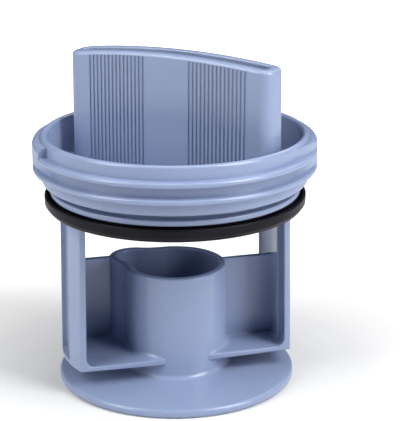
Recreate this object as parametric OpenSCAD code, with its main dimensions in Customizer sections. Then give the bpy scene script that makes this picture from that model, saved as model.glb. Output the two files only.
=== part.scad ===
// Drain pump filter of a washing machine: one moulded body and one rubber seal.
// The body is a base disk, a two-lobed suction tube, a cage of two legs with a
// shelf and two webs, a threaded cap and a hollow ribbed grip, all in one piece.
// The origin is the centre of the disk's underside, +Z is up and X lies along
// the grip. The cage, the tube and the thread are turned against the grip.

/* [Base disk] */
// Diameter of the disk that closes the pump side
disk_d = 60.3; // [56:0.1:66]
// Thickness of the disk
disk_t = 2.2; // [1.5:0.1:3]
// Radius of the disk's rounded edge
disk_edge_r = 0.8; // [0.3:0.1:0.9]
// Height by which the disk's top rises towards the tube
disk_dome = 0.4; // [0.1:0.1:1]

/* [Suction tube] */
// Outer radius of the tube's main lobe
tube_r = 13.0; // [11:0.1:13.5]
// Centre of the main lobe, across the legs
tube_x = 0.0; // [-1:0.1:2]
// Centre of the main lobe, towards the back flat side
tube_y = 1.0; // [-1.5:0.1:1.5]
// Outer radius of the small lobe
lobe_r = 6.7; // [5:0.1:7]
// Centre of the small lobe, across the legs
lobe_x = -8.5; // [-10:0.1:-8]
// Centre of the small lobe, towards the back flat side
lobe_y = 9.0; // [7:0.1:9.5]
// Radius of the hollow flank at the front, between the two lobes
front_waist_r = 7; // [5:0.5:14]
// Radius of the hollow flank at the back
back_waist_r = 15; // [8:0.5:30]
// Wall of the tube
tube_wall = 2.0; // [1.4:0.1:2.4]
// Height of the tube and the webs above the shelf
tube_h = 21.4; // [16:0.1:28]
// Fillet where the tube meets the disk and the shelf
root_r = 1.2; // [0.4:0.1:1.4]

/* [Cage] */
// Gap between the disk and the shelf's rim
disk_gap = 4.6; // [3:0.1:8]
// Distance from the rim of the lip below the seal in to the cage's shelf
cage_inset = 0.6; // [0.3:0.1:2]
// Width of the cage between its two flat sides
cage_w = 21.6; // [19:0.1:26]
// Thickness of the shelf at its rim
shelf_t = 1.1; // [1:0.1:2]
// Thickness that the shelf gains towards the tube
shelf_gain = 0.5; // [0.2:0.1:1.2]
// Height of the open window between the shelf and the cap
window_h = 37.1; // [32:0.1:45]
// Angle of the cage, the tube and the thread against the grip
cage_turn = 43.5; // [0:0.5:90]
// Wall of the legs
leg_t = 1.5; // [1.2:0.1:2.2]
// Distance by which the legs lean in between the shelf and the cap
leg_lean = 0.5; // [0:0.1:1]
// Radius of the inner corner between a leg and the shelf
leg_root_r = 2.2; // [1:0.1:3]
// Width of the channel down each leg
channel_w = 9.5; // [6:0.5:12]
// Depth of the channel
channel_depth = 1.3; // [0.6:0.1:1.8]
// Wall behind the channel
channel_wall = 2.0; // [1.2:0.1:2.4]
// Thickness of the webs
web_t = 1.6; // [1.2:0.1:2.2]

/* [Seal seat] */
// Radius of the neck that the seal is stretched on
neck_r = 28.9; // [27.5:0.1:29.3]
// Width by which the lip below the seal stands out from the neck
low_lip_out = 1.1; // [0.6:0.1:1.5]
// Thickness of the lip below the seal
low_lip_t = 0.7; // [0.5:0.1:1]
// Width by which the lip above the seal stands out from the neck
high_lip_out = 2.4; // [1.6:0.1:2.6]
// Thickness of the lip above the seal
high_lip_t = 1.4; // [0.6:0.1:1.6]
// Height of the gap that parts the lip from the cup
lip_gap = 1.7; // [1.2:0.1:3]
// Thickness of the cap's floor
floor_t = 2.6; // [2:0.1:3.2]
// Wall between the neck and the cup's inside
neck_wall = 1.9; // [1.4:0.1:2.4]

/* [Seal] */
// Width of the seal from the neck to its outer flank
seal_w = 3.8; // [2.9:0.05:4]
// Height of the seal
seal_h = 3.2; // [2.6:0.1:4]
// Free height left between the seal and the lip above it
seal_play = 0.4; // [0.1:0.1:0.8]
// Wall of the seal's outer and inner flanks
seal_flank = 0.75; // [0.6:0.05:1]
// Depth of the groove moulded into the seal's top
seal_groove = 1.9; // [1:0.1:2.4]
// Height of the upright band at the top of the outer flank
seal_band = 2.0; // [0.8:0.1:2.4]
// Width by which the outer flank draws in below the band
seal_taper = 0.7; // [0.2:0.1:1]

/* [Cup and thread] */
// Outer radius of the cup
cup_r = 33.2; // [32.8:0.1:34]
// Wall of the cup
cup_wall = 1.6; // [1.3:0.1:2.2]
// Height of the cup above the gap over the lip
cup_h = 12.0; // [10.5:0.1:15]
// Radius of the thread ridges
ridge_r = 35.4; // [34.6:0.1:36.5]
// Height of one ridge
ridge_t = 1.45; // [1:0.05:2]
// Height of the groove between the two ridges
ridge_gap = 2.6; // [1.8:0.1:3]
// Height of the plain wall below the lower ridge
ridge_lift = 3.0; // [1.5:0.1:4.5]
// Height of the stop blocks above the upper ridge
stop_rise = 2.5; // [0.5:0.1:2.7]
// Radius of a ridge's rounded edges
ridge_edge = 0.6; // [0.3:0.05:0.7]
// Radius of the stop blocks' rounded top edge
stop_edge = 1.6; // [0.8:0.1:2]
// Angle at which the front track starts
track_from = 187.5; // [175:0.5:200]
// Angle that one track covers, between two stop blocks
track_span = 134; // [120:0.5:150]

/* [Grip] */
// Depth by which the grip's ends run into the neck's wall
grip_sink = 1.0; // [0.2:0.1:1.2]
// Thickness of the grip at its top
grip_t = 8.4; // [7:0.1:12]
// Height of the grip above the cap's floor
grip_h = 36.5; // [28:0.1:42]
// Radius of the grip's crowned top
crown_r = 210; // [120:1:400]
// Radius of the rounded top edge
crown_edge = 0.9; // [0.3:0.1:0.9]
// Radius of the grip's upright corners
grip_corner = 3.0; // [1:0.1:4]
// Radius of the hollow's upright corners
hollow_corner = 1.0; // [0.4:0.1:2]
// Wall of the grip
grip_wall = 2.4; // [1.6:0.1:2.8]
// Slope of the two ends, in degrees
end_draft = 0.2; // [0:0.1:2]
// Slope of the two broad faces, in degrees
face_draft = 0.8; // [0:0.1:1.5]
// Number of grip grooves in each group
groove_count = 15; // [5:1:16]
// Distance from one groove to the next
groove_pitch = 1.075; // [0.9:0.005:1.2]
// Radius of one groove
groove_r = 0.3; // [0.15:0.05:0.4]
// Distance from the grip's middle to the first groove
groove_start = 6.4; // [3:0.05:8]

/* [Hidden] */
body_colour = [0.58, 0.65, 0.79];
seal_colour = [0.12, 0.12, 0.15];

// Rounding of small edges, and a margin by which cuts overshoot
lip_edge = 0.25;
crown_ease = 0.05;
root_sink = 0.3;
over = 1;
$fn = 96;

// Heights, each stacked on the one below
hub_z = disk_t + disk_dome;
shelf_z = disk_t + disk_gap;
pocket_z = shelf_z + shelf_t;
tube_top = pocket_z + tube_h;
cap_z = pocket_z + window_h;
leg_top = cap_z + low_lip_t / 2;
seal_z = cap_z + low_lip_t;
high_lip_z = seal_z + seal_h + seal_play;
gap_z = high_lip_z + high_lip_t;
cup_z = gap_z + lip_gap;
cup_top = cup_z + cup_h;
floor_z = cap_z + floor_t;
grip_top = floor_z + grip_h;
low_ridge_z = cup_z + ridge_lift;
high_ridge_z = low_ridge_z + ridge_t + ridge_gap;
stop_top = high_ridge_z + ridge_t + stop_rise;

// Radii that follow from the walls
low_lip_r = neck_r + low_lip_out;
cage_r = low_lip_r - cage_inset;
leg_in = cage_r - leg_t;
channel_r = cage_r - channel_depth;
rib_in = channel_r - channel_wall;
neck_in = neck_r - neck_wall;
grip_l = 2 * (neck_in + grip_sink);
high_lip_r = neck_r + high_lip_out;
seal_r = neck_r + seal_w;
cup_in = cup_r - cup_wall;
cup_mid = cup_r - cup_wall / 2;
step_z = cup_z + cup_wall;

// The waist is two circles that touch both lobes from outside. Each is a side,
// front or back, and a radius.
WAISTS = [[1, front_waist_r], [-1, back_waist_r]];
main_c = [tube_x, tube_y];
lobe_c = [lobe_x, lobe_y];
lobe_gap = norm(lobe_c - main_c);
lobe_dir = (lobe_c - main_c) / lobe_gap;
function sq(v) = v * v;
function waist_along(w) = (sq(tube_r + w) - sq(lobe_r + w) + sq(lobe_gap)) / (2 * lobe_gap);
function waist_aside(w) = sqrt(sq(tube_r + w) - sq(waist_along(w)));
function waist_c(waist) = main_c + lobe_dir * waist_along(waist[1])
    + [-lobe_dir.y, lobe_dir.x] * waist_aside(waist[1]) * waist[0];

// A bar in the r-z plane whose two outer corners are rounded
module bar(r0, r1, z0, z1, edge) {
    translate([r0, z0]) square([r1 - r0 - edge, z1 - z0]);
    translate([r0, z0 + edge]) square([r1 - r0, z1 - z0 - 2 * edge]);
    for (z = [z0 + edge, z1 - edge]) translate([r1 - edge, z]) circle(edge);
}

// A wedge of the plan between two angles, reaching past the thread
module wedge(from, span, reach) {
    steps = 8;
    far = reach / cos(span / steps / 2);
    polygon(concat([[0, 0]], [for (i = [0:steps]) far * [
        cos(from + span * i / steps), sin(from + span * i / steps)]]));
}

// The tube's plan, moved inwards by a wall
module tube_plan(inset) {
    difference() {
        union() {
            translate(main_c) circle(tube_r - inset);
            translate(lobe_c) circle(lobe_r - inset);
            for (waist = WAISTS) polygon([main_c, waist_c(waist), lobe_c]);
        }
        for (waist = WAISTS) translate(waist_c(waist)) circle(waist[1] + inset);
    }
}

// A fillet ring round a lobe of radius r, which stands on z = 0 and is let into
// the plate below
module root_fillet(r) {
    rotate_extrude() difference() {
        translate([r - over, -root_sink]) square([over + root_r, root_r + root_sink]);
        translate([r + root_r, root_r]) circle(root_r);
    }
}

module tube_roots(z) {
    translate([main_c.x, main_c.y, z]) root_fillet(tube_r);
    translate([lobe_c.x, lobe_c.y, z]) root_fillet(lobe_r);
}

// The disk is flat on top as far as the tube's roots reach, and falls from
// there to its rounded edge
module base_disk() {
    rim = disk_d / 2 - disk_edge_r;
    flat = norm(lobe_c) + lobe_r + root_r + over;
    rotate_extrude() {
        bar(0, disk_d / 2, 0, disk_t, disk_edge_r);
        polygon([[0, disk_t / 2], [rim, disk_t / 2], [rim, disk_t], [flat, hub_z], [0, hub_z]]);
    }
}

// A wall of the legs from radius r0 to r1, which leans in as it rises
function lean(z) = leg_lean * (z - pocket_z) / window_h;
module leg_wall(r0, r1, z0, z1) {
    polygon([[r0 - lean(z0), z0], [r1 - lean(z0), z0], [r1 - lean(z1), z1], [r0 - lean(z1), z1]]);
}

// Shelf and legs are one revolved section, kept between the two flat sides.
// The shelf thickens evenly towards the tube.
module cage_section() {
    polygon([
        [0, pocket_z], [0, shelf_z - shelf_gain], [tube_r, shelf_z - shelf_gain],
        [cage_r, shelf_z], [cage_r, pocket_z]
    ]);
    leg_wall(leg_in, cage_r, pocket_z - shelf_t / 2, leg_top);
    difference() {
        translate([leg_in - leg_root_r, pocket_z - shelf_t / 2])
            square([leg_root_r + leg_t / 2, leg_root_r + shelf_t / 2]);
        translate([leg_in - leg_root_r, pocket_z + leg_root_r]) circle(leg_root_r);
    }
}

module leg_channels() {
    rotate_extrude() leg_wall(channel_r, cage_r + over, pocket_z, cap_z + over);
}

module channel_ribs() {
    rotate_extrude() leg_wall(rib_in, channel_r, shelf_z + shelf_t / 4, leg_top);
}

module slab(width) {
    translate([-2 * cage_r, -width / 2, 0]) cube([4 * cage_r, width, cap_z + over]);
}

module cage() {
    difference() {
        intersection() {
            rotate_extrude() cage_section();
            slab(cage_w);
        }
        intersection() {
            leg_channels();
            slab(channel_w);
        }
    }
    intersection() {
        channel_ribs();
        slab(channel_w + 2 * leg_t);
    }
}

// A web runs from a lobe's centre out to a leg and ends inside the leg's wall
module web(from_x, side, y, reach) {
    intersection() {
        translate([min(from_x, side * cage_r), y, pocket_z - over / 2])
            cube([abs(side * cage_r - from_x), web_t, tube_h + over / 2]);
        cylinder(r = reach, h = tube_top);
    }
}

// The left web lies at the back flat side and runs into the small lobe, and
// the right one is level with the main lobe's centre
module webs() {
    web(lobe_x, -1, cage_w / 2 - web_t, cage_r - leg_t / 2);
    web(tube_x, 1, tube_y - web_t / 2, channel_r - channel_wall / 2);
}

// The cap's section: floor, neck with its two lips, and the cup
module cap_section() {
    square_top = cup_top - cup_wall / 2;
    translate([0, cap_z]) square([neck_r, floor_t]);
    translate([neck_in, cap_z]) square([neck_wall, step_z - cap_z]);
    bar(neck_in, low_lip_r, cap_z, seal_z, lip_edge);
    bar(neck_in, high_lip_r, high_lip_z, gap_z, lip_edge);
    bar(neck_in, cup_r, cup_z, step_z, lip_edge);
    translate([cup_in, cup_z + lip_edge]) square([cup_wall, square_top - cup_z - lip_edge]);
    translate([cup_mid, square_top]) circle(cup_wall / 2);
}

module ridge_section() {
    for (z = [low_ridge_z, high_ridge_z]) bar(cup_mid, ridge_r, z, z + ridge_t, ridge_edge);
}

// A stop block joins both ridges and rises above them with a rounder top edge
module stop_section() {
    round_z = stop_top - stop_edge;
    bar(cup_mid, ridge_r, low_ridge_z, round_z, ridge_edge);
    translate([cup_mid, round_z - 2 * ridge_edge]) square([ridge_r - cup_mid, 2 * ridge_edge]);
    translate([cup_mid, round_z - over]) square([ridge_r - stop_edge - cup_mid, stop_edge + over]);
    translate([ridge_r - stop_edge, round_z]) circle(stop_edge);
}

module sector(from, span) {
    linear_extrude(grip_top) wedge(from, span, ridge_r + over);
}

// Two tracks lie half a turn apart. Each is the groove between the two ridges,
// closed at both ends by a wide stop block that both tracks share.
module tracks() {
    rotate_extrude() ridge_section();
    for (turn = [0, 180]) rotate(turn) intersection() {
        rotate_extrude() stop_section();
        sector(track_from + track_span, 180 - track_span);
    }
}

// A rectangle with round corners, centred on the origin
module round_plate(size, r) {
    for (s = [[size.x - 2 * r, size.y], [size.x, size.y - 2 * r]]) square(s, center = true);
    for (x = [-1, 1], y = [-1, 1])
        translate([x * (size.x / 2 - r), y * (size.y / 2 - r)]) circle(r, $fn = 32);
}

// A tapered block from the floor to above the crown, whose size is given at
// the grip's top and grows downwards with the draft
module grip_block(inset, z0, r) {
    slice = 0.1;
    function plan(z) = [
        grip_l - 2 * inset + 2 * (grip_top - z) * tan(end_draft),
        grip_t - 2 * inset + 2 * (grip_top - z) * tan(face_draft)
    ];
    hull() for (z = [z0, grip_top + over])
        translate([0, 0, z]) linear_extrude(slice) round_plate(plan(z), r);
}

// The crown is a wide barrel that lies across the grip. Its rounded edges start
// just outside the broad faces, and below them it is wider than the grip.
module crown() {
    half = grip_t / 2 + crown_ease;
    translate([0, 0, grip_top - crown_r]) rotate([90, 0, 0]) rotate_extrude($fn = 360) {
        bar(0, crown_r, -half, half, crown_edge);
        translate([0, -half - over]) square([crown_r - crown_edge, 2 * (half + over)]);
    }
}

module grip_grooves() {
    length = grip_top - floor_z + 2 * over;
    for (face = [0, 180]) rotate(face) translate([0, -grip_t / 2, grip_top])
        rotate([-face_draft, 0, 0]) for (side = [-1, 1], i = [0:groove_count - 1])
            translate([side * (groove_start + i * groove_pitch), 0, -length])
                cylinder(r = groove_r, h = length + over, $fn = 16);
}

module grip() {
    difference() {
        intersection() {
            grip_block(0, floor_z - over / 2, grip_corner);
            crown();
        }
        grip_block(grip_wall, floor_z, hollow_corner);
        grip_grooves();
    }
}

// The outside of the suction tube, from the disk to its rim
module tube() {
    translate([0, 0, disk_t / 2]) linear_extrude(tube_top - disk_t / 2) tube_plan(0);
    tube_roots(hub_z);
    intersection() {
        tube_roots(pocket_z);
        slab(cage_w);
    }
}

module tube_bore() {
    translate([0, 0, -over]) linear_extrude(tube_top + 2 * over) tube_plan(tube_wall);
}

module filter_body() {
    color(body_colour) difference() {
        union() {
            base_disk();
            rotate_extrude() cap_section();
            grip();
            rotate(cage_turn) {
                cage();
                webs();
                tube();
                tracks();
            }
        }
        rotate(cage_turn) tube_bore();
    }
}

// The seal is a ring with a groove in its top, so that its outer flank can flex.
// The flank is upright at the top and draws in below.
module seal_ring() {
    top = seal_z + seal_h;
    groove_z = top - seal_groove;
    foot_r = seal_r - seal_taper;
    color(seal_colour) rotate_extrude() difference() {
        polygon([
            [neck_r, seal_z], [foot_r - lip_edge, seal_z], [foot_r, seal_z + lip_edge],
            [seal_r, top - seal_band], [seal_r, top - lip_edge], [seal_r - lip_edge, top],
            [neck_r, top]
        ]);
        polygon([
            [neck_r + seal_flank, groove_z], [foot_r - seal_flank, groove_z],
            [seal_r - seal_flank, top - seal_band / 2], [seal_r - seal_flank, top + over],
            [neck_r + seal_flank, top + over]
        ]);
    }
}

filter_body();
seal_ring();
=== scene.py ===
"""Drain pump filter of a washing machine: a grey-blue moulded body and a black seal.

Every surface is worked out with numpy as a closed profile carried along a closed
or open path. Lengths are written in millimetres and become metres in shell().
The origin is the centre of the base disk's underside, X lies along the grip, and
the cage, the suction tube and the thread are turned by CAGE_TURN about Z.
"""
import math

import bmesh
import bpy
import numpy as np
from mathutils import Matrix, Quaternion, Vector


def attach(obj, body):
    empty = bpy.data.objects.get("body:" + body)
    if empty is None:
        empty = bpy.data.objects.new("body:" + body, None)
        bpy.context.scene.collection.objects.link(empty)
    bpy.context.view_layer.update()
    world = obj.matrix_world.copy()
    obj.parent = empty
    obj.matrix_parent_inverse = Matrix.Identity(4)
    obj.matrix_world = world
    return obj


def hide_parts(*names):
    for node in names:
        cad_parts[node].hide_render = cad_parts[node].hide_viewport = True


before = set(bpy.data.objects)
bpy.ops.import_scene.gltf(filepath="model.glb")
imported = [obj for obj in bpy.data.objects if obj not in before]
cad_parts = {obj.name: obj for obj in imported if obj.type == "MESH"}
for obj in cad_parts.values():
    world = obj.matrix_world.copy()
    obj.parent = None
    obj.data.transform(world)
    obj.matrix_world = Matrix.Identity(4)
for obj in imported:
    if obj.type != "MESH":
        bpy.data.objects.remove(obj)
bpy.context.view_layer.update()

MM = 0.001
CAGE_TURN = math.radians(43.5)
SHARP_ANGLE = math.radians(38.0)

# Base disk and suction tube
DISK_R, DISK_T, DISK_EDGE, HUB_Z, HUB_R = 30.15, 2.2, 0.8, 2.6, 21.28
MAIN, MAIN_R = np.array([0.0, 1.0]), 13.0
LOBE, LOBE_R = np.array([-8.5, 9.0]), 6.7
FRONT_WAIST, BACK_WAIST = 7.0, 15.0
TUBE_WALL, TUBE_TOP, ROOT_R = 2.0, 29.3, 1.2

# Cage
CAGE_R, CAGE_HALF, LEG_IN, LEG_ROOT, LEG_LEAN = 29.4, 10.8, 27.9, 2.2, 0.5
SHELF_Z, POCKET_Z, SHELF_GAIN = 6.8, 7.9, 0.5
CHANNEL_HALF, CHANNEL_R, RIB_IN, RIB_HALF = 4.75, 28.1, 26.1, 6.25
WEB_T, SHELF_BITE = 1.6, 0.9

# Cap, cup, thread and seal
CAP_Z, SEAL_Z, HIGH_LIP_Z, GAP_Z = 45.0, 45.7, 49.3, 50.7
CUP_Z, STEP_Z, CUP_TOP, FLOOR_Z = 52.4, 54.0, 64.4, 47.6
NECK_R, NECK_IN, LOW_LIP_R, HIGH_LIP_R = 28.9, 27.0, 30.0, 31.3
CUP_R, CUP_IN, RIDGE_R, RIDGE_T, RIDGE_EDGE = 33.2, 31.6, 35.4, 1.45, 0.6
LOW_RIDGE, HIGH_RIDGE, STOP_TOP, STOP_EDGE = 55.4, 59.45, 63.4, 1.6
TRACK_FROM, TRACK_SPAN = 193.5, 123.0
LEAD_IN, RUN_OUT, STOP_SPAN = 23.0, 24.0, 51.0
THREAD_BITE, RAMP_BITE = 0.8, 0.1
SEAL_R, SEAL_H, SEAL_FLANK, SEAL_GROOVE, SEAL_BAND, SEAL_TAPER = 32.7, 3.2, 0.75, 1.9, 2.0, 0.7

# Grip
GRIP_TOP, GRIP_HALF_L, GRIP_HALF_T, GRIP_CORNER = 84.1, 28.0, 4.2, 3.0
GRIP_WALL, HOLLOW_CORNER, CROWN_R, CROWN_EDGE = 2.4, 1.0, 210.0, 0.9
END_DRAFT, FACE_DRAFT = math.tan(math.radians(0.2)), math.tan(math.radians(0.8))
GROOVES, GROOVE_PITCH, GROOVE_R, GROOVE_START = 15, 1.075, 0.3, 6.4


# Mesh helpers
def shell(name, points, around, along, cap_ends=False):
    """A grid of points [along, around, 3] in millimetres as one mesh.

    around and along say whether the grid closes on itself that way. Each quad
    joins point (i, j) to its three neighbours. With cap_ends the first and the
    last row are closed by one flat face each.
    """
    rows, cols = points.shape[:2]
    index = np.arange(rows * cols).reshape(rows, cols)
    i = index if along else index[:-1]
    down = np.roll(index, -1, 0) if along else index[1:]
    if around:
        right, corner = np.roll(i, -1, 1), np.roll(down, -1, 1)
    else:
        i, right, down, corner = i[:, :-1], i[:, 1:], down[:, :-1], down[:, 1:]
    faces = np.stack([i, right, corner, down], -1).reshape(-1, 4).tolist()
    if cap_ends:
        faces += [index[0][::-1].tolist(), index[-1].tolist()]
    mesh = bpy.data.meshes.new(name)
    mesh.from_pydata((points.reshape(-1, 3) * MM).tolist(), [], faces)
    return mesh


def joined(name, meshes):
    """One object from several closed meshes, smooth but for edges over SHARP_ANGLE."""
    vertices, faces, start = [], [], 0
    for mesh in meshes:
        co = np.empty(len(mesh.vertices) * 3)
        mesh.vertices.foreach_get("co", co)
        vertices.append(co.reshape(-1, 3))
        faces += [[v + start for v in p.vertices] for p in mesh.polygons]
        start += len(mesh.vertices)
        bpy.data.meshes.remove(mesh)
    mesh = bpy.data.meshes.new(name)
    mesh.from_pydata(np.vstack(vertices).tolist(), [], faces)
    outward(mesh)
    mesh.shade_smooth()
    mesh.set_sharp_from_angle(angle=SHARP_ANGLE)
    obj = bpy.data.objects.new(name, mesh)
    bpy.context.scene.collection.objects.link(obj)
    weighted = obj.modifiers.new("flat_faces_first", "WEIGHTED_NORMAL")
    weighted.keep_sharp = True
    weighted.weight = 60
    return obj


def outward(mesh):
    """Merges doubled points at poles and turns every face to the outside."""
    work = bmesh.new()
    work.from_mesh(mesh)
    bmesh.ops.remove_doubles(work, verts=work.verts, dist=1e-7)
    bmesh.ops.recalc_face_normals(work, faces=work.faces)
    work.to_mesh(mesh)
    work.free()


def arc(centre, radius, start, end, steps=5):
    """Points on a circle's arc from start to end, in degrees."""
    a = np.radians(np.linspace(start, end, steps))
    return np.stack([centre[0] + radius * np.cos(a), centre[1] + radius * np.sin(a)], -1)


def turned(profile, segments=288):
    """A closed (r, z) profile revolved about Z: x = r cos t, y = r sin t."""
    t = np.linspace(0, 2 * np.pi, segments, endpoint=False)[:, None]
    r, z = profile[:, 0], profile[:, 1]
    return np.stack([r * np.cos(t), r * np.sin(t), np.broadcast_to(z, (segments, len(z)))], -1)


def spin(points):
    """Turns points about Z, from the cage's axes to the part's."""
    c, s = math.cos(CAGE_TURN), math.sin(CAGE_TURN)
    x, y = points[..., 0], points[..., 1]
    return np.stack([x * c - y * s, x * s + y * c, points[..., 2]], -1)


# Suction tube and disk
def tube_outline(outset, per_arc=72):
    """The tube's plan in the cage's axes, moved outwards by outset.

    Four arcs meet at tangents: the main lobe's far side, the back waist, the
    small lobe's far side and the front waist. A waist is hollow, so its radius
    shrinks by outset where a lobe's grows.
    """
    gap = np.linalg.norm(LOBE - MAIN)
    u = (LOBE - MAIN) / gap
    n = np.array([-u[1], u[0]])

    def waist_centre(radius, side):
        a, b = MAIN_R + radius, LOBE_R + radius
        along = (a * a - b * b + gap * gap) / (2 * gap)
        return MAIN + u * along + n * side * math.sqrt(a * a - along * along)

    def sweep(centre, radius, first, last, turn, steps):
        """Points round centre from the direction of first to that of last."""
        a0 = math.atan2(*(first - centre)[::-1])
        a1 = math.atan2(*(last - centre)[::-1])
        span = (a1 - a0) % (2 * math.pi) if turn > 0 else -((a0 - a1) % (2 * math.pi))
        a = np.linspace(a0, a0 + span, steps, endpoint=False)
        return centre + radius * np.stack([np.cos(a), np.sin(a)], -1)

    front, back = waist_centre(FRONT_WAIST, 1), waist_centre(BACK_WAIST, -1)
    return np.vstack([
        sweep(MAIN, MAIN_R + outset, front, back, 1, per_arc * 2),
        sweep(back, BACK_WAIST - outset, MAIN, LOBE, -1, per_arc // 2),
        sweep(LOBE, LOBE_R + outset, back, front, 1, per_arc),
        sweep(front, FRONT_WAIST - outset, LOBE, MAIN, -1, per_arc // 2),
    ])


def tube_and_disk():
    """Disk and tube as one closed surface: rows of equal point count from the
    bore's foot, out under the disk, round its edge, over its top, up the root
    fillet and the tube's wall, over the rim and down the bore."""
    wall = tube_outline(0.0)
    bearing = np.arctan2(wall[:, 1] - MAIN[1], wall[:, 0] - MAIN[0])

    def ring(radius, z):
        xy = radius * np.stack([np.cos(bearing), np.sin(bearing)], -1)
        return np.column_stack([xy, np.full(len(xy), z)])

    def lobed(outset, z):
        return np.column_stack([tube_outline(outset), np.full(len(wall), z)])

    half_wall = TUBE_WALL / 2
    rim_edge = 0.45
    rows = [lobed(-TUBE_WALL, 0.3), lobed(-TUBE_WALL + 0.3, 0.0), ring(26.0, 0.0)]
    rows += [ring(r, z) for r, z in arc((DISK_R - DISK_EDGE, DISK_EDGE), DISK_EDGE, -90, 0, 6)]
    rows += [ring(r, z) for r, z in arc((DISK_R - DISK_EDGE, DISK_T - DISK_EDGE), DISK_EDGE, 0, 90, 6)]
    rows += [ring(DISK_R - DISK_EDGE - 0.4, DISK_T + 0.02), ring(HUB_R, HUB_Z)]
    rows += [lobed(ROOT_R + 0.5, HUB_Z)]
    rows += [lobed(ROOT_R - x, z) for x, z in arc((0.0, HUB_Z + ROOT_R), ROOT_R, -90, 0, 8)]
    rows += [lobed(0.0, 8.0), lobed(0.0, TUBE_TOP - 2.0)]
    rows += [lobed(x, z) for x, z in arc((-rim_edge, TUBE_TOP - rim_edge), rim_edge, 0, 90, 5)]
    inner_rim = (rim_edge - TUBE_WALL, TUBE_TOP - rim_edge)
    rows += [lobed(x, z) for x, z in arc(inner_rim, rim_edge, 90, 180, 5)]
    rows += [lobed(-TUBE_WALL, TUBE_TOP - 2.0), lobed(-TUBE_WALL, 3.0)]
    return shell("tube_and_disk", spin(np.array(rows)), around=True, along=True)


# Cage
def tube_reach(y, side):
    """How far the tube's outline, SHELF_BITE inside its wall, lies from x = 0 at
    each y, on the +X or -X side."""
    outline = tube_outline(-SHELF_BITE)
    following = np.roll(outline, -1, 0)
    low = np.minimum(outline[:, 1], following[:, 1])
    high = np.maximum(outline[:, 1], following[:, 1])
    hit = (low[None] <= y[:, None]) & (y[:, None] < high[None])
    step = following[:, 1] - outline[:, 1]
    share = (y[:, None] - outline[None, :, 1]) / np.where(step == 0, 1, step)[None]
    x = outline[None, :, 0] + share * (following[:, 0] - outline[:, 0])[None]
    return np.where(hit, side * x, -1e3).max(1)


def leg_profile(outer, inner, root):
    """The (r, z) section of shelf and leg at one place along the flat side's
    normal. r below zero marks a point that is tied to the tube instead. The leg
    leans in by LEG_LEAN between the shelf and the cap."""
    top = CAP_Z + 0.35
    edge = 0.3
    kink = SHELF_Z - SHELF_GAIN * (CAGE_R - 20.0) / (CAGE_R - MAIN_R)
    pts = [(-1.0, SHELF_Z - SHELF_GAIN), (20.0, kink)]
    pts += arc((CAGE_R - edge, SHELF_Z + edge), edge, -90, 0, 4).tolist()
    pts += [(CAGE_R, POCKET_Z - 0.3), (CAGE_R, POCKET_Z)]
    pts += [(outer, POCKET_Z + 0.02), (outer, POCKET_Z + 0.4), (outer, 20.0), (outer, 35.0)]
    pts += [(outer, top), (inner, top), (inner, 35.0), (inner, 20.0)]
    pts += [(inner, POCKET_Z + root + 1.5)]
    pts += arc((inner - root, POCKET_Z + root), root, 0, -90, 9).tolist()
    pts += [(inner - root - 0.6, POCKET_Z), (18.0, POCKET_Z), (-1.0, POCKET_Z)]
    pts = np.array(pts)
    lean = LEG_LEAN * np.maximum(pts[:, 1] - POCKET_Z, 0) / (CAP_Z - POCKET_Z)
    pts[:, 0] -= np.where(pts[:, 0] > 0, lean, 0)
    return pts


def cage_side(side):
    """One leg with its half of the shelf: the section is carried along y, and
    each of its points stands at x = sqrt(r squared - y squared), so that the
    leg's faces are round about Z while the two ends at +-CAGE_HALF are flat."""
    edge = 0.35
    a = np.linspace(0, math.pi / 2, 5)
    ends = CAGE_HALF - edge + edge * np.sin(a)
    inset = edge * (1 - np.cos(a))
    step = 0.02
    middle = np.array([
        9.4, 8.3, RIB_HALF + 0.9, RIB_HALF + step, RIB_HALF - step,
        CHANNEL_HALF + step, CHANNEL_HALF - step, 2.4, 0.0,
    ])
    half_y = np.concatenate([ends[::-1], middle])
    half_in = np.concatenate([inset[::-1], np.zeros(len(middle))])
    ys = np.concatenate([-half_y, half_y[::-1][1:]])
    insets = np.concatenate([half_in, half_in[::-1][1:]])
    reach = tube_reach(np.clip(ys, -CAGE_HALF, CAGE_HALF), side)
    rows = []
    for y, cut, near in zip(ys, insets, reach):
        outer = CHANNEL_R if abs(y) < CHANNEL_HALF else CAGE_R
        inner_r, root = (RIB_IN, 0.9) if abs(y) < RIB_HALF else (LEG_IN, LEG_ROOT)
        section = leg_profile(outer, inner_r, root)
        # near the flat sides the section is drawn in along its own normals
        free = np.where(section[:, 0] < 0, near, section[:, 0])
        loop = np.column_stack([free, section[:, 1]])
        ahead, behind = np.roll(loop, -1, 0) - loop, loop - np.roll(loop, 1, 0)
        ahead /= np.linalg.norm(ahead, axis=1)[:, None] + 1e-9
        behind /= np.linalg.norm(behind, axis=1)[:, None] + 1e-9
        tangent = ahead + behind
        tangent /= np.linalg.norm(tangent, axis=1)[:, None] + 1e-9
        loop = loop + np.column_stack([-tangent[:, 1], tangent[:, 0]]) * cut
        tied = section[:, 0] < 0
        x = np.where(tied, near, np.sqrt(np.maximum(loop[:, 0] ** 2 - y * y, 0)))
        x = np.maximum(x, near)
        rows.append(np.column_stack([side * x, np.full(len(x), y), loop[:, 1]]))
    return shell("cage_side", spin(np.array(rows)), around=True, along=False, cap_ends=True)


def slab(x0, x1, y0, y1, z0, z1):
    """A plate that runs along x and whose section in y and z has two round corners
    at its top."""
    edge = 0.3
    section = np.vstack([
        arc((y1 - edge, z1 - edge), edge, 0, 90, 4), arc((y0 + edge, z1 - edge), edge, 90, 180, 4),
        [[y0, z0], [y1, z0]],
    ])
    rows = [np.column_stack([np.full(len(section), x), section]) for x in (x0, (x0 + x1) / 2, x1)]
    return shell("web", spin(np.array(rows)), around=True, along=False, cap_ends=True)


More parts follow.
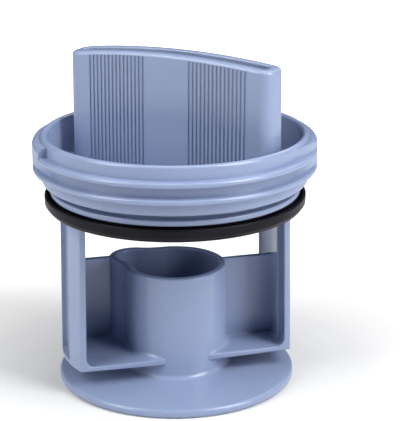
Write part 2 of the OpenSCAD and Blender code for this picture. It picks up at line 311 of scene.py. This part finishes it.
def shelf_roots():
    """The fillet between shelf and tube, as a closed strip round the tube. It
    shrinks into the wall where the tube comes near the cage's flat sides, so
    that it is gone before it would stand out past them."""
    wall = tube_outline(0.0)
    room = CAGE_HALF - 0.05 - np.abs(wall[:, 1])
    size = np.clip(room / ROOT_R, 0, 1)[:, None]
    direction = tube_outline(1.0) - wall
    bend = np.radians(np.linspace(-90, 0, 7))
    section = [(-0.8, -0.3), (1.0, -0.3)]
    section += [(1 - math.cos(a), 1 + math.sin(a)) for a in bend]
    section += [(-0.8, 1.0)]
    gone, sink = 0.02, 0.06
    rows = []
    for out, up in section:
        if out > 0:
            reach = out * ROOT_R * size - sink * (size < gone)
        else:
            reach = np.full_like(size, min(out, -sink))
        rise = (up * ROOT_R * size[:, 0]) if up > 0 else np.full(len(wall), up)
        rows.append(np.column_stack([wall + direction * reach, POCKET_Z + rise]))
    return shell("shelf_roots", spin(np.array(rows)), around=True, along=True)


# Cap and thread
def cap_profile():
    """The cap's closed section: floor, neck, two lips and the cup with its rim."""
    e = 0.28
    rim = (CUP_R - CUP_IN) / 2
    rim_z = CUP_TOP - rim
    pts = [(0.0, CAP_Z), (NECK_IN, CAP_Z)]
    pts += arc((LOW_LIP_R - e, CAP_Z + e), e, -90, 0, 4).tolist()
    pts += arc((LOW_LIP_R - e, SEAL_Z - e), e, 0, 90, 4).tolist()
    pts += [(NECK_R, SEAL_Z), (NECK_R, HIGH_LIP_Z)]
    pts += arc((HIGH_LIP_R - e, HIGH_LIP_Z + e), e, -90, 0, 4).tolist()
    pts += arc((HIGH_LIP_R - e, GAP_Z - e), e, 0, 90, 4).tolist()
    pts += arc((NECK_R + 0.4, GAP_Z + 0.4), 0.4, 270, 180, 4).tolist()
    pts += arc((NECK_R + 0.4, CUP_Z - 0.4), 0.4, 180, 90, 4).tolist()
    pts += arc((CUP_R - 0.5, CUP_Z + 0.5), 0.5, -90, 0, 5).tolist()
    pts += [(CUP_R, 58.0), (CUP_R, rim_z - 1.0)]
    pts += arc((CUP_R - rim, rim_z), rim, 0, 180, 13).tolist()
    pts += [(CUP_IN, 60.0), (CUP_IN, STEP_Z + 2.0)]
    pts += arc((CUP_IN - 1.0, STEP_Z + 1.0), 1.0, 0, -90, 5).tolist()
    pts += arc((NECK_IN + 0.4, STEP_Z - 0.4), 0.4, 90, 180, 4).tolist()
    pts += arc((NECK_IN - 0.8, FLOOR_Z + 0.8), 0.8, 0, -90, 5).tolist()
    pts += [(0.0, FLOOR_Z)]
    return np.array(pts)


def swept_section(section, start, span):
    """A closed (r, z) section carried round Z from start over span degrees."""
    t = np.radians(np.linspace(start, start + span, 64))[:, None]
    r, z = section[:, 0][None], section[:, 1][None]
    return np.stack([r * np.cos(t), r * np.sin(t), z + 0 * t], -1)


def ridge_section(z):
    """A ridge: flat sides and two round outer corners."""
    inner = CUP_R - THREAD_BITE
    return np.vstack([
        [[inner, z + RIDGE_T], [inner, z]],
        arc((RIDGE_R - RIDGE_EDGE, z + RIDGE_EDGE), RIDGE_EDGE, -90, 0, 6),
        arc((RIDGE_R - RIDGE_EDGE, z + RIDGE_T - RIDGE_EDGE), RIDGE_EDGE, 0, 90, 6),
    ])


def ramped(points, rise, fall):
    """A swept section whose outside climbs from the cup's wall over rise degrees
    and falls back to it over fall degrees, or ends square where fall is 0:
    r <= foot + (RIDGE_R - foot) * min(1, turn / rise, left / fall)."""
    foot = CUP_R - RAMP_BITE
    flat = np.linalg.norm(points[..., :2], axis=-1)
    turned_by = np.degrees(np.unwrap(np.arctan2(points[:, 0, 1], points[:, 0, 0])))
    turn, left = turned_by - turned_by[0], turned_by[-1] - turned_by
    share = np.minimum(turn / rise, left / fall if fall else 1.0).clip(0, 1)[:, None]
    limit = foot + (RIDGE_R - foot) * share
    points = points.copy()
    points[..., :2] *= np.minimum(1.0, limit / flat)[..., None]
    return points


def thread_pieces():
    """Two full ridges with a groove between them. Half a turn apart, a soft ramp
    fills the groove, and a stop block climbs above it and ends square."""
    meshes = [
        shell("ridge", turned(ridge_section(z), 256), around=True, along=True)
        for z in (LOW_RIDGE, HIGH_RIDGE)
    ]
    low, high = LOW_RIDGE + RIDGE_T / 2, HIGH_RIDGE + RIDGE_T / 2
    inner, outer = CUP_R - THREAD_BITE, RIDGE_R - 0.01
    filler = np.array([[inner, high], [inner, low], [outer, low], [outer, high]])
    block = np.vstack([
        [[inner, STOP_TOP], [inner, high], [outer, high]],
        arc((outer - STOP_EDGE, STOP_TOP - STOP_EDGE), STOP_EDGE, 0, 90, 9),
    ])
    for half in (0, 180):
        first = TRACK_FROM + TRACK_SPAN + half
        fills = (filler, 180 - TRACK_SPAN, RUN_OUT), (block, STOP_SPAN, 0)
        for section, span, fall in fills:
            points = ramped(swept_section(section, first, span), LEAD_IN, fall)
            meshes.append(shell("stop", spin(points), around=True, along=False, cap_ends=True))
    return meshes


# Grip
def grip_plan(half_l, half_t, radius):
    """A plan of the grip at its top as points, outward normals and groove depth.

    It runs along the front face, round the right end, along the back face and
    round the left end. Each groove is seven points across, and its depth is that
    of a circle of radius GROOVE_R at that distance from the groove's middle.
    """
    flat, side = half_l - radius, half_t - radius
    middle = GROOVE_START + GROOVE_PITCH * np.arange(GROOVES)
    across = GROOVE_R * np.array([-1.0, -0.85, -0.5, 0.0, 0.5, 0.85, 1.0])
    right = (middle[:, None] + across[None]).ravel()
    right = np.concatenate([np.linspace(0.0, GROOVE_START - 0.5, 6), right, [flat - 0.4]])
    x = np.concatenate([-right[::-1][:-1], right])
    distance = np.abs(np.abs(x)[:, None] - middle[None]).min(1)
    depth = np.sqrt(np.maximum(GROOVE_R ** 2 - distance ** 2, 0)) * 0.95
    front = np.column_stack([x, np.full(len(x), -half_t)])
    down = np.column_stack([np.zeros(len(x)), -np.ones(len(x))])

    def corner(cx, cy, start):
        a = np.radians(np.linspace(start, start + 90, 10))
        n = np.stack([np.cos(a), np.sin(a)], -1)
        return np.array([cx, cy]) + radius * n, n

    parts, normals, depths = [front], [down], [depth]
    for cx, cy, start in ((flat, -side, -90), (flat, side, 0)):
        p, n = corner(cx, cy, start)
        parts.append(p), normals.append(n), depths.append(np.zeros(len(p)))
    parts.append(-front), normals.append(-down), depths.append(depth)
    for cx, cy, start in ((-flat, side, 90), (-flat, -side, 180)):
        p, n = corner(cx, cy, start)
        parts.append(p), normals.append(n), depths.append(np.zeros(len(p)))
    return np.vstack(parts), np.vstack(normals), np.concatenate(depths)


def grip_shell():
    """The hollow grip: its plan carried from the floor up the outside, over the
    rounded rim and down the inside. Height falls with the crown's radius away
    from the middle, and the plan widens downwards by the two drafts."""
    outside = grip_plan(GRIP_HALF_L, GRIP_HALF_T, GRIP_CORNER)
    inside = grip_plan(GRIP_HALF_L - GRIP_WALL, GRIP_HALF_T - GRIP_WALL, HOLLOW_CORNER)

    def row(surface, outset, below, floor_z=None, groove=0.0):
        """One row at a depth below the crown, or at a fixed height."""
        plan, normal, depth = surface
        xy = plan + normal * (outset - depth * groove)[:, None]
        crown = GRIP_TOP - (CROWN_R - np.sqrt(CROWN_R ** 2 - xy[:, 0] ** 2))
        z = np.full(len(xy), floor_z) if floor_z is not None else crown - below
        drop = GRIP_TOP - z
        at_end = np.clip((np.abs(plan[:, 0]) - 22.2) / 1.3, 0, 1) * np.sign(plan[:, 0])
        grow_x = at_end * END_DRAFT * drop
        grow_y = np.clip(plan[:, 1] / 0.8, -1, 1) * FACE_DRAFT * drop
        return np.column_stack([xy[:, 0] + grow_x, xy[:, 1] + grow_y, z])

    rows = [row(outside, 0, 0, floor_z=z, groove=1.0) for z in (FLOOR_Z - 0.2, 55.0, 64.0, 73.0)]
    fade = ((3.0, 1.0), (1.5, 1.0), (1.25, 0.85), (1.1, 0.5), (1.0, 0.15), (0.94, 0.0))
    rows += [row(outside, 0, below, groove=g) for below, g in fade]
    rim = np.radians(np.linspace(0, 90, 9))
    for a in rim:
        rows.append(row(outside, -CROWN_EDGE * (1 - math.cos(a)), CROWN_EDGE * (1 - math.sin(a))))
    lip = 0.3
    for a in rim[::-2]:
        rows.append(row(inside, lip * (1 - math.cos(a)), lip * (1 - math.sin(a))))
    rows += [row(inside, 0, 2.0)]
    rows += [row(inside, 0, 0, floor_z=z) for z in (64.0, FLOOR_Z - 0.2)]
    return shell("grip", np.array(rows), around=True, along=True)


# Seal
def seal_profile():
    """The seal's section: a U whose outer flank is upright at the top and draws
    in below, with round edges."""
    top = SEAL_Z + SEAL_H
    e, f = 0.25, SEAL_FLANK
    foot, groove_z = SEAL_R - SEAL_TAPER, top - SEAL_GROOVE
    return np.vstack([
        [[NECK_R, SEAL_Z]],
        arc((foot - e, SEAL_Z + e), e, -90, -30, 4),
        [[SEAL_R - 0.03, top - SEAL_BAND - 0.1], [SEAL_R, top - SEAL_BAND + 0.1]],
        arc((SEAL_R - e, top - e), e, 0, 90, 5),
        arc((SEAL_R - f + e, top - e), e, 90, 180, 5),
        arc((foot - f - 0.4, groove_z + 0.4), 0.4, 0, -90, 5),
        arc((NECK_R + f + 0.5, groove_z + 0.5), 0.5, 270, 180, 5),
        arc((NECK_R + f - e, top - e), e, 0, 90, 5),
        [[NECK_R, top]],
    ])


# Materials
class Wire:
    """A shader socket that takes part in Python arithmetic on values."""

    def __init__(self, tree, socket):
        self.tree, self.socket = tree, socket

    def maths(self, operation, *others):
        values = enumerate((self, *others))
        return node(self.tree, "ShaderNodeMath", {"operation": operation}, *values)

    def __add__(self, other):
        return self.maths("ADD", other)

    def __sub__(self, other):
        return self.maths("SUBTRACT", other)

    def __mul__(self, other):
        return self.maths("MULTIPLY", other)

    def __truediv__(self, other):
        return self.maths("DIVIDE", other)

    __radd__ = __add__

    def clamp(self):
        return self.maths("MAXIMUM", 0.0).maths("MINIMUM", 1.0)


def node(tree, kind, settings, *inputs, out=0):
    """A node of a kind with its settings made first, then its sockets set or
    linked from (name or place, value) pairs. Gives its output as a wire."""
    made = tree.nodes.new(kind)
    for key, value in settings.items():
        setattr(made, key, value)
    for place, value in inputs:
        if isinstance(value, Wire):
            tree.links.new(value.socket, made.inputs[place])
        else:
            made.inputs[place].default_value = value
    return Wire(tree, made.outputs[out])


def new_material(name):
    """An empty node material with its output and one Principled shader."""
    material = bpy.data.materials.new(name)
    material.use_nodes = True
    tree = material.node_tree
    tree.nodes.clear()
    shader = tree.nodes.new("ShaderNodeBsdfPrincipled")
    output = tree.nodes.new("ShaderNodeOutputMaterial")
    tree.links.new(shader.outputs[0], output.inputs[0])
    return material, tree, shader


def blend_colour(tree, share, first, second):
    """The first colour where share is 0, the second where it is 1."""
    settings = {"data_type": "RGBA"}
    return node(tree, "ShaderNodeMix", settings, (0, share), (6, first), (7, second), out=2)


def object_place(tree):
    """Object coordinates, in metres."""
    return node(tree, "ShaderNodeTexCoord", {}, out=3)


def noise(tree, place, scale, detail, roughness):
    """A noise texture's value at a place."""
    return node(
        tree, "ShaderNodeTexNoise", {},
        ("Vector", place), ("Scale", scale), ("Detail", detail), ("Roughness", roughness),
    )


def moulded_plastic():
    """Satin grey-blue polypropylene: a cloudy tone from the flow of the melt, a
    faint grain of the mould's spark-worn steel and fine handling scuffs."""
    material, tree, shader = new_material("moulded_body")
    place = object_place(tree)
    cloud = noise(tree, place, 60.0, 3.0, 0.5)
    grain = noise(tree, place, 2600.0, 2.0, 0.6)
    stretch = node(
        tree, "ShaderNodeMapping", {},
        ("Vector", place), ("Rotation", (0.4, 0.9, 0.3)), ("Scale", (260.0, 1400.0, 90.0)),
    )
    scuff = noise(tree, stretch, 1.0, 4.0, 0.65)
    scuffed = ((scuff - 0.62) * 6.0).clamp()
    plain, clouded = (0.216, 0.270, 0.416, 1), (0.224, 0.279, 0.427, 1)
    tone = blend_colour(tree, (cloud - 0.3) * 2.2, plain, clouded)
    tone = blend_colour(tree, scuffed * 0.02, tone, (0.30, 0.36, 0.52, 1))
    tree.links.new(tone.socket, shader.inputs["Base Color"])
    tree.links.new((0.22 + (cloud - 0.5) * 0.04 + scuffed * 0.02).socket, shader.inputs["Roughness"])
    edges = node(tree, "ShaderNodeBevel", {"samples": 6}, ("Radius", 0.00035))
    bump = node(
        tree, "ShaderNodeBump", {},
        ("Strength", 0.06), ("Distance", 0.00004), ("Height", grain + cloud * 0.6), ("Normal", edges),
    )
    tree.links.new(bump.socket, shader.inputs["Normal"])
    shader.inputs["IOR"].default_value = 1.5
    return material


def seal_rubber():
    """Matt black rubber with a pale dusty bloom in patches."""
    material, tree, shader = new_material("seal_rubber")
    place = object_place(tree)
    bloom = noise(tree, place, 90.0, 5.0, 0.6)
    grain = noise(tree, place, 3200.0, 3.0, 0.6)
    dusty = ((bloom - 0.45) * 3.0).clamp()
    tone = blend_colour(tree, dusty, (0.006, 0.005, 0.008, 1), (0.010, 0.009, 0.013, 1))
    tree.links.new(tone.socket, shader.inputs["Base Color"])
    tree.links.new((0.36 + dusty * 0.10).socket, shader.inputs["Roughness"])
    shader.inputs["Specular IOR Level"].default_value = 0.11
    bump = node(tree, "ShaderNodeBump", {}, ("Strength", 0.15), ("Distance", 0.00004), ("Height", grain))
    tree.links.new(bump.socket, shader.inputs["Normal"])
    shader.inputs["IOR"].default_value = 1.52
    return material


def floor_material():
    """A plain pale floor that keeps the object's shadow. To the camera it fades to
    white from 50 to 200 mm away from the part's axis."""
    material, tree, shader = new_material("studio_floor")
    place = object_place(tree)
    away = node(tree, "ShaderNodeVectorMath", {"operation": "LENGTH"}, (0, place), out=1)
    far = ((away - 0.05) / 0.15).clamp()
    seen = node(tree, "ShaderNodeLightPath", {}, out=0)
    white = blend_colour(tree, far * seen, (0, 0, 0, 1), (1, 1, 1, 1))
    tree.links.new(white.socket, shader.inputs["Emission Color"])
    shader.inputs["Emission Strength"].default_value = 1.0
    shader.inputs["Base Color"].default_value = (0.68, 0.68, 0.68, 1)
    shader.inputs["Roughness"].default_value = 0.85
    shader.inputs["Specular IOR Level"].default_value = 0.0
    return material


# The part
body_finish, seal_finish = moulded_plastic(), seal_rubber()

pieces = {
    "tube_and_base_disk": [tube_and_disk()],
    "cage_with_webs": [
        cage_side(1), cage_side(-1), shelf_roots(),
        slab(12.0, 26.9, 0.2, 0.2 + WEB_T, POCKET_Z - 0.3, TUBE_TOP),
        slab(-26.2, -14.3, CAGE_HALF - WEB_T, CAGE_HALF, POCKET_Z - 0.3, TUBE_TOP),
    ],
    "cap_and_cup": [shell("cap", turned(cap_profile()), around=False, along=True)],
    "bayonet_thread": thread_pieces(),
    "grip": [grip_shell()],
}
for name, meshes in pieces.items():
    made = joined(name, meshes)
    made.data.materials.append(body_finish)
    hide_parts("filter_body")
    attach(made, "root")

seal = joined("seal", [shell("seal", turned(seal_profile(), 256), around=True, along=True)])
seal.data.materials.append(seal_finish)
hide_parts("seal_ring")
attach(seal, "root")


# Studio
def floor_plane():
    """A wide flat floor under the disk."""
    half = 1.5
    corners = [(-half, -half, 0), (half, -half, 0), (half, half, 0), (-half, half, 0)]
    mesh = bpy.data.meshes.new("floor")
    mesh.from_pydata(corners, [], [(0, 1, 2, 3)])
    obj = bpy.data.objects.new("floor", mesh)
    bpy.context.scene.collection.objects.link(obj)
    obj.location.z = -0.00002
    mesh.materials.append(floor_material())


floor_plane()

# Lamps by azimuth from the camera, elevation in degrees and power in watts
CAMERA_AZIMUTH = 27.9
LAMP_DISTANCE, LAMP_SIZE, LAMP_TARGET = 0.55, 0.26, (0, 0, 0.042)
LAMPS = {
    "right_low": (60, 15, 1.62),
    "right_high": (60, 45, 2.75),
    "left_low": (-60, 15, 1.12),
    "left_high": (-60, 45, 1.75),
    "side_left": (-100, 15, 0.3),
    "back_high": (150, 45, 0.56),
    "overhead": (0, 88, 1.12),
}


def area_light(name, azimuth, elevation, power):
    lamp = bpy.data.lights.new(name, "AREA")
    lamp.shape, lamp.size, lamp.size_y = "RECTANGLE", LAMP_SIZE, LAMP_SIZE
    lamp.energy = power
    obj = bpy.data.objects.new(name, lamp)
    a, e = math.radians(azimuth), math.radians(elevation)
    back = Vector((math.sin(a) * math.cos(e), -math.cos(a) * math.cos(e), math.sin(e)))
    obj.location = Vector(LAMP_TARGET) + back * LAMP_DISTANCE
    obj.rotation_mode = "QUATERNION"
    obj.rotation_quaternion = back.to_track_quat("Z", "Y")
    bpy.context.scene.collection.objects.link(obj)


for name, (azimuth, elevation, power) in LAMPS.items():
    area_light(name, CAMERA_AZIMUTH + azimuth, elevation, power)

# The world is white to the camera and through clear things, and faint in reflections
world = bpy.data.worlds.new("studio")
bpy.context.scene.world = world
world.use_nodes = True
tree = world.node_tree
tree.nodes.clear()
path = tree.nodes.new("ShaderNodeLightPath")
seen = Wire(tree, path.outputs["Is Camera Ray"])
glossy = Wire(tree, path.outputs["Is Glossy Ray"])
through = Wire(tree, path.outputs["Is Transmission Ray"])
strength = (seen + through + glossy * 0.02).clamp()
back = node(tree, "ShaderNodeBackground", {}, ("Color", (1, 1, 1, 1)), ("Strength", strength))
surface = tree.nodes.new("ShaderNodeOutputWorld")
tree.links.new(back.socket, surface.inputs[0])

# The camera stands 385 mm from the point it looks at, 17.6 degrees above it and
# 27.9 degrees to the right of the grip's normal, with a slight roll.
SENSOR, FOCAL_SHARE = 36.0, 1528.0 / 400.0
camera = bpy.data.cameras.new("camera")
camera.sensor_fit = "HORIZONTAL"
camera.sensor_width = SENSOR
camera.lens = SENSOR * FOCAL_SHARE
camera.clip_start, camera.clip_end = 0.01, 10.0
eye = bpy.data.objects.new("camera", camera)
bpy.context.scene.collection.objects.link(eye)
bpy.context.scene.camera = eye


def camera_axes(right_shift, height, distance, elevation, yaw, roll):
    """Place and turn of the camera from the fit to the photograph, whose frame
    has x to the right, y away and z up. yaw turns it into the part's axes."""
    e, w = math.radians(elevation), math.radians(yaw)
    place = np.array([right_shift, -distance * math.cos(e), height + distance * math.sin(e)])
    ahead = np.array([0.0, math.cos(e), -math.sin(e)])
    c, s = math.cos(w), math.sin(w)
    turn = np.array([[c, -s, 0], [s, c, 0], [0, 0, 1.0]])
    place, ahead = turn @ place, turn @ ahead
    quaternion = Vector(ahead).to_track_quat("-Z", "Y")
    eye.location = Vector(place * MM)
    eye.rotation_mode = "QUATERNION"
    eye.rotation_quaternion = quaternion @ Quaternion((0, 0, 1), math.radians(roll))


camera_axes(6.2, 43.4, 385.0, 17.6, CAMERA_AZIMUTH, -0.15)
bpy.context.scene.view_settings.view_transform = "Standard"
